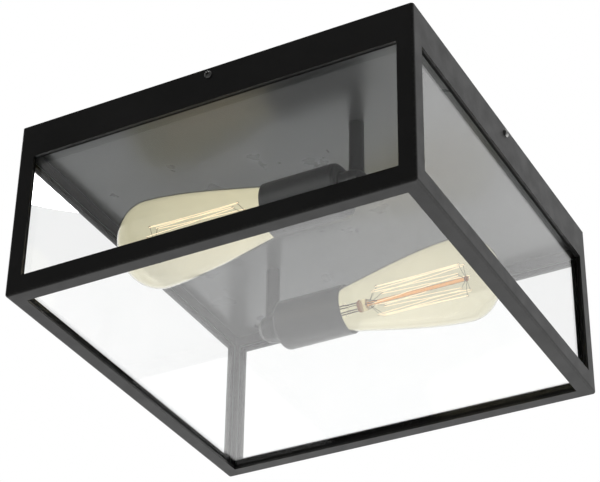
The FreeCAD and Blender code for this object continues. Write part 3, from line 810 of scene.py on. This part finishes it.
def add_hooks(number, material):
    """Fine hooks that hold the filament's bends, and the four ties between the bead and the rod."""
    edited = bmesh.new()
    ends = ((BEAD_END + 1.5, ROD_RADIUS, FILAMENT_BACK, BACK_CIRCLE, 1),
            (ROD_END - HUB_LENGTH / 2, HUB_RADIUS, FILAMENT_FRONT, FRONT_CIRCLE, -1))
    for root, glass_radius, end, circle, side in ends:
        for angle in bend_angles(side):
            inner = on_circle(root, glass_radius * 0.8, angle)
            tube(edited, hook_route(inner, end, circle, angle, side), HOOK_RADIUS, 6)
    for across in (-1, 1):
        for up in (-1, 1):
            start = Vector((BEAD_END - 0.6, across * 4.1, up * 2.2))
            end = Vector((start.x + TIE_LENGTH, across * 1.35, up * 0.55))
            corners = (start, start + Vector((3.2, 0, 0)), end - Vector((3.0, 0, 0)), end)
            tube(edited, interpolate_bezier(*corners, 10), TIE_RADIUS, 8)
    mesh = to_mesh("hooks", edited, in_lamp(number))
    add_piece(f"lamp_{number}_hooks", mesh, material, f"lamp_{number}",
              (f"lamp_supports_{number}",))


def add_lead_wires(number, material):
    """A row of lead wires from the cap through the flare to the bead."""
    edited = bmesh.new()
    for up in LEAD_PLACES:
        stops = ((CAP_LENGTH + 0.6, 0.96), (FLARE_END, 1.0), (BEAD_START - 1.5, 1.0), (BEAD_START + 1.0, 1.0))
        tube(edited, [(along, 0.0, up * share) for along, share in stops], LEAD_RADIUS, 10)
    mesh = to_mesh("leads", edited, in_lamp(number))
    add_piece(f"lamp_{number}_lead_wires", mesh, material, f"lamp_{number}")


def add_lamps():
    """Both lamps with everything in them."""
    glass = lamp_glass()
    brass = bare_metal("lamp_cap_brass", (0.80, 0.66, 0.38), (0.55, 0.43, 0.24), 0.20, 0.36)
    coat = lit_coat()
    clear = bead_glass("inner_lamp_glass", (0.95, 0.90, 0.74), (0.50, 0.44, 0.28), 0.12, 0.08, 0.8)
    brown = bead_glass("brown_bead_glass", (0.26, 0.09, 0.02), (0.45, 0.17, 0.04), 0.12, 0.12, 0.3)
    flare, amber, core = flare_glass(), rod_glass(), lit_rod()
    coil = glowing_coil()
    hook = oxidised_wire("hook_wire", (0.050, 0.030, 0.014), (0.026, 0.016, 0.008), 0.2)
    lead = oxidised_wire("lead_wire", (0.075, 0.032, 0.006), (0.034, 0.014, 0.003), 0.1)
    for number in (1, 2):
        add_envelope(number, glass)
        add_screw_cap(number, brass)
        add_lit_coat(number, coat)
        add_inner_glass(number, flare, clear, brown, amber, core)
        add_filament(number, coil)
        add_hooks(number, hook)
        add_lead_wires(number, lead)


# ---------------------------------------------------------------- screws

def cut_away(mesh, cutter):
    """Takes one closed mesh away from another."""
    first = bpy.data.objects.new("cut_body", mesh)
    second = bpy.data.objects.new("cut_tool", cutter)
    for item in (first, second):
        bpy.context.scene.collection.objects.link(item)
    change = first.modifiers.new("cut", "BOOLEAN")
    change.operation = "DIFFERENCE"
    change.solver = "EXACT"
    change.object = second
    bpy.context.view_layer.update()
    result = bpy.data.meshes.new_from_object(first.evaluated_get(bpy.context.evaluated_depsgraph_get()))
    for item in (first, second):
        bpy.data.objects.remove(item)
    return result


def bar_cutter(length, width, top, bottom, narrow=1.0, turn=0.0):
    """A bar across the X axis that narrows towards its bottom, for cutting recesses."""
    edited = bmesh.new()
    rows = []
    for along, share in ((top, 1.0), (bottom, narrow)):
        row = []
        for a, b in ((-1, -1), (1, -1), (1, 1), (-1, 1)):
            flat = Vector((a * length / 2 * share, b * width / 2 * share, 0.0))
            flat.rotate(Matrix.Rotation(turn, 3, "Z"))
            row.append(edited.verts.new((along, flat.x, flat.y)))
        rows.append(row)
    edited.faces.new(rows[0])
    edited.faces.new(rows[1])
    for i in range(4):
        edited.faces.new((rows[0][i], rows[0][(i + 1) % 4], rows[1][(i + 1) % 4], rows[1][i]))
    return to_mesh("cutter", edited)


def side_screw_mesh():
    """Pan head screw with a cross recess; it lies along X with its seat at 0 and its shank towards +X."""
    head = [(-2.2, 0.0), (-2.2, 1.2), (-2.14, 1.9), (-1.95, 2.5), (-1.6, 2.95), (-1.15, 3.25), (-0.6, 3.42),
            (-0.15, 3.46), (0.0, 3.4), (0.0, 1.98)]
    steps = 48
    shank = [(SHANK_LENGTH * i / steps + 0.1, SHANK_RADIUS) for i in range(steps + 1)]
    tip = [(5.5, 1.5), (5.5, 0.0)]
    edited = bmesh.new()
    thread = thread_ripple(SHANK_RADIUS, SCREW_THREAD_DEPTH, SCREW_THREAD_PITCH, 0.05)
    lathe(edited, head + shank + tip, 48, thread)
    mesh = to_mesh("screw", edited)
    for length, width in (RECESS_SIZE, RECESS_SIZE[::-1]):
        mesh = cut_away(mesh, bar_cutter(length, width, -2.6, -0.7, 0.45))
    return mesh


def add_side_screws(material):
    """One screw in the middle of each side of the band, each stopped at its own turn."""
    for number, side in enumerate(SIDES):
        mesh = side_screw_mesh()
        spin = Matrix.Rotation(math.radians(24 + 37 * number), 4, "X")
        stand = Matrix.Rotation(math.radians(90), 4, "Z")
        move = Matrix.Translation((0.0, -HALF_WIDTH * MM, SCREW_Z * MM))
        mesh.transform(Matrix.Rotation(math.radians(90 * number), 4, "Z") @ move @ stand @ spin)
        piece = add_piece(f"side_screw_{side}_head_and_thread", mesh, material, f"side_screw_{side}",
                          (f"side_screw_{side}",))
        sharpened(piece, 35)


def add_terminal_screws(material):
    """Three slotted screws, each stopped at its own turn."""
    low, high = (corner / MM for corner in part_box("terminal_screws"))
    middle = (low + high) / 2
    radius = (high.y - low.y) / 2
    profile = [(low.z, 0.0), (low.z, radius - 0.2), (low.z + 0.2, radius), (high.z - 0.25, radius),
               (high.z, radius - 0.25), (high.z, 0.0)]
    whole = bmesh.new()
    for way in (-1, 0, 1):
        edited = bmesh.new()
        lathe(edited, profile, 32)
        slot = bar_cutter(4.0, 0.6, high.z + 0.5, high.z - 0.8, turn=math.radians(20 + 40 * way))
        mesh = cut_away(to_mesh("terminal_screw", edited), slot)
        place = Vector((middle.x + way * TERMINAL_PITCH, middle.y, 0.0)) * MM
        mesh.transform(Matrix.Translation(place) @ Matrix.Rotation(-math.pi / 2, 4, "Y"))
        whole.from_mesh(mesh)
    mesh = bpy.data.meshes.new("terminal_screws_slotted")
    whole.to_mesh(mesh)
    whole.free()
    piece = add_piece("terminal_screws_slotted", mesh, material, "tray_and_lampholders",
                      ("terminal_screws",))
    sharpened(piece, 35)


# ---------------------------------------------------------------- finish of the carried-over nodes

def dress(names, material):
    """Gives every face of these nodes one material."""
    for name in names:
        mesh = nodes[name].data
        for index in range(len(mesh.materials)):
            mesh.materials[index] = material


def dress_nodes():
    """Finishes of all nodes that keep their shape, and the screws that share a finish with them."""
    frame_nodes = [f"{kind}_{side}" for kind in ("band", "rail") for side in SIDES]
    frame_nodes += [f"post_{corner}" for corner in ("front_right", "back_right", "back_left", "front_left")]
    dress(frame_nodes, frame_paint())
    dress(["pane_front", "pane_back"], pane_glass("clear_glass_front_back", "Y", 0.0, 1.38))
    dress(["pane_left"], pane_glass("clear_glass_left", "X", 0.0, 1.30))
    dress(["pane_right"], pane_glass("clear_glass_right", "X", 0.10, 1.52))
    dress(["pane_bottom"], pane_glass("clear_glass_bottom", "Z", 0.50, 1.53))
    dress([f"seal_{side}" for side in (*SIDES, "bottom")], seal_rubber())
    dress(["ceiling_tray"], tray_paint())
    dress([f"{kind}_{number}" for kind in ("stem", "elbow", "cup") for number in (1, 2)], cup_paint())
    white = ceramic("white_ceramic", (0.66, 0.65, 0.61), (0.58, 0.56, 0.52))
    black = ceramic("black_lamp_insulator", (0.020, 0.019, 0.022), (0.012, 0.012, 0.014))
    dress(["lampholder_1", "lampholder_2"], white)
    dress(["lamp_base_1", "lamp_base_2"], black)
    brass = bare_metal("brass", (0.78, 0.60, 0.30), (0.52, 0.38, 0.18), 0.22, 0.40)
    dress(["holder_shells", "holder_contacts", "terminal_clamps"], brass)
    zinc = bare_metal("zinc_plated_steel", (0.62, 0.62, 0.60), (0.42, 0.42, 0.40), 0.28, 0.45)
    dress(["side_screw_nuts", "stem_nuts", "earth_nut"], zinc)
    dress(["terminal_block"], terminal_plastic())
    add_terminal_screws(zinc)
    add_side_screws(bare_metal("bright_screw_steel", (0.52, 0.52, 0.51), (0.30, 0.30, 0.29), 0.22, 0.38))


bpy.context.scene.view_settings.view_transform = "Standard"
add_camera()
add_world()
add_floor()
add_light()
dress_nodes()
add_lamps()
